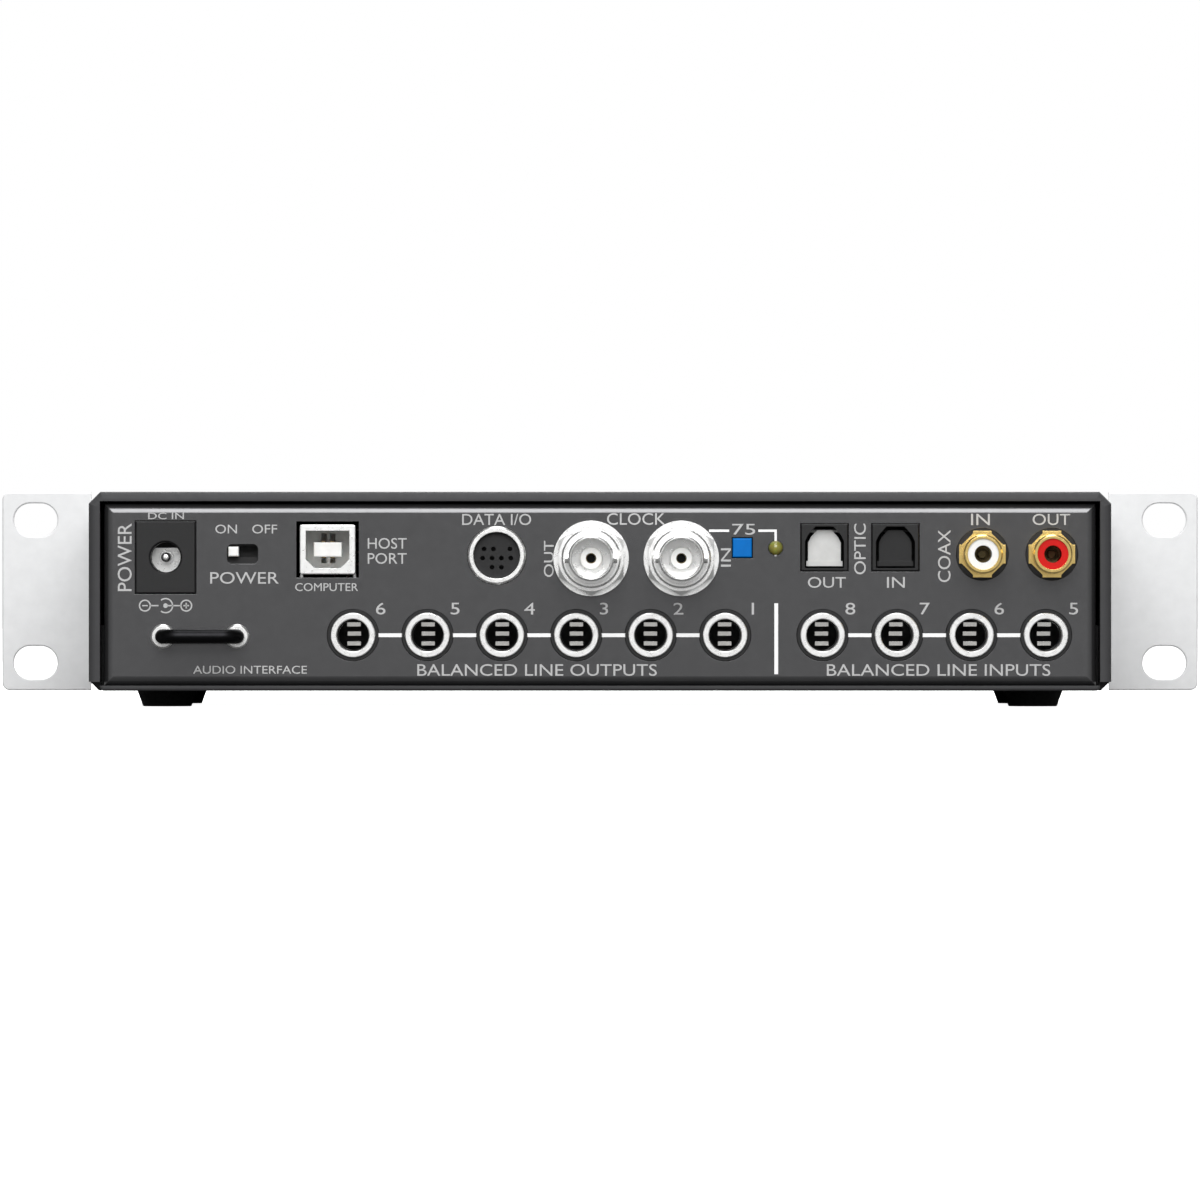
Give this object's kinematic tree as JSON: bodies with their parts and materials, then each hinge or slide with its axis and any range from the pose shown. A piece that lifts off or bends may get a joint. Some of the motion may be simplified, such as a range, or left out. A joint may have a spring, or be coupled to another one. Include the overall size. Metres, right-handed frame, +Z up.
{
  "type": "audio interface",
  "caption": "Half-rack digital audio interface: sheet-metal case with rack ears, front dial and a rear field of audio, data and power sockets.",
  "frame": {"origin": "on the floor under the middle of the whole unit", "axes": "+X along the width (right seen from the front), +Y out of the rear connector panel, +Z up"},
  "size_m": [0.266, 0.178, 0.0467],
  "materials": {
    "case_paint": "fine-textured dark grey powder coat",
    "panel_paint": "satin mid grey with white printing",
    "front_alloy": "satin anodised",
    "ear_paint": "satin light grey",
    "plated_steel": "zinc plated",
    "black_screws": "black oxide",
    "foot_rubber": "matte",
    "black_plastic": "moulded",
    "grey_plastic": "moulded",
    "white_plastic": "moulded",
    "red_plastic": "moulded",
    "blue_plastic": "moulded",
    "board": "solder mask",
    "chip": "moulded epoxy",
    "component": "lacquered",
    "nickel": "bright nickel plate",
    "gilt": "thin gold plate",
    "dull_brass": "spring brass, dull",
    "contact_alloy": "spring alloy",
    "lamp_yellow": "tinted resin, unlit",
    "lamp_green": "tinted resin, unlit",
    "window_smoke": "smoked acrylic",
    "shutter_grey": "moulded"
  },
  "bodies": {
    "chassis": {"top_cover": "case_paint", "base_tray": "case_paint", "rear_panel": "panel_paint", "front_panel": "front_alloy", "front_brackets": "plated_steel", "rack_ear_left": "ear_paint", "rack_ear_right": "ear_paint", "side_screws": "black_screws", "rubber_feet": "foot_rubber", "foot_screws": "plated_steel", "analog_board": "board", "digital_board": "board", "front_board": "board", "board_standoffs": "plated_steel", "board_screws": "plated_steel", "board_chips": "chip", "power_supply_parts": "component", "board_links": "black_plastic", "dc_socket_body": "black_plastic", "dc_socket_contact": "nickel", "dc_centre_pin": "nickel", "power_switch_body": "black_plastic", "usb_port_shell": "nickel", "usb_port_insulator": "white_plastic", "usb_port_contacts": "dull_brass", "din_socket_shell": "nickel", "din_socket_insert": "black_plastic", "clock_socket_shells": "nickel", "clock_socket_nuts": "nickel", "clock_socket_dielectrics": "white_plastic", "clock_socket_contacts": "dull_brass", "termination_switch_body": "black_plastic", "termination_led": "lamp_yellow", "optical_out_body": "black_plastic", "optical_in_body": "black_plastic", "coax_socket_bodies": "black_plastic", "coax_socket_shells": "gilt", "coax_in_insulator": "white_plastic", "coax_out_insulator": "red_plastic", "coax_centre_contacts": "dull_brass", "jack_bodies": "black_plastic", "jack_bushings": "nickel", "jack_contacts": "contact_alloy", "strain_relief_bail": "black_screws", "strain_relief_ferrules": "nickel", "mic_socket_housings": "black_plastic", "mic_socket_inserts": "black_plastic", "encoder_body": "grey_plastic", "display_window": "window_smoke", "display_module": "grey_plastic", "status_leds": "lamp_green"},
    "power_lever": {"power_switch_lever": "white_plastic"},
    "termination_key": {"termination_button": "blue_plastic"},
    "optical_out_flap": {"optical_out_shutter": "shutter_grey"},
    "optical_in_flap": {"optical_in_shutter": "black_plastic"},
    "latch_1": {"mic_socket_latch_1": "nickel"},
    "latch_2": {"mic_socket_latch_2": "nickel"},
    "dial_plunger": {"encoder_plunger": "plated_steel"},
    "dial": {"encoder_shaft": "plated_steel", "encoder_knob": "front_alloy"}
  },
  "joints": [
    {"name": "power_switch_slide", "type": "slide", "parent": "chassis", "child": "power_lever", "axis": [-1, 0, 0], "range_m": [0, 0.0038]},
    {"name": "termination_press", "type": "slide", "parent": "chassis", "child": "termination_key", "axis": [0, -1, 0], "range_m": [0, 0.001], "stiffness_N_per_m": 300, "springref_m": -0.001},
    {"name": "optical_out_hinge", "type": "hinge", "parent": "chassis", "child": "optical_out_flap", "pos_m": [-0.0478, 0.07405, 0.03755], "axis": [-1, 0, 0], "range_deg": [0, 80], "stiffness_Nm_per_rad": 0.0001, "springref_deg": -28.65},
    {"name": "optical_in_hinge", "type": "hinge", "parent": "chassis", "child": "optical_in_flap", "pos_m": [-0.0629, 0.07405, 0.03755], "axis": [-1, 0, 0], "range_deg": [0, 80], "stiffness_Nm_per_rad": 0.0001, "springref_deg": -28.65},
    {"name": "mic_1_latch_press", "type": "slide", "parent": "chassis", "child": "latch_1", "axis": [0, 1, 0], "range_m": [0, 0.0015], "stiffness_N_per_m": 400, "springref_m": -0.001},
    {"name": "mic_2_latch_press", "type": "slide", "parent": "chassis", "child": "latch_2", "axis": [0, 1, 0], "range_m": [0, 0.0015], "stiffness_N_per_m": 400, "springref_m": -0.001},
    {"name": "dial_press", "type": "slide", "parent": "chassis", "child": "dial_plunger", "axis": [0, 1, 0], "range_m": [0, 0.0006], "stiffness_N_per_m": 3000, "springref_m": -0.0005},
    {"name": "dial_turn", "type": "hinge", "parent": "dial_plunger", "child": "dial", "pos_m": [0.058, -0.0775, 0.0247], "axis": [0, -1, 0], "continuous": true}
  ]
}
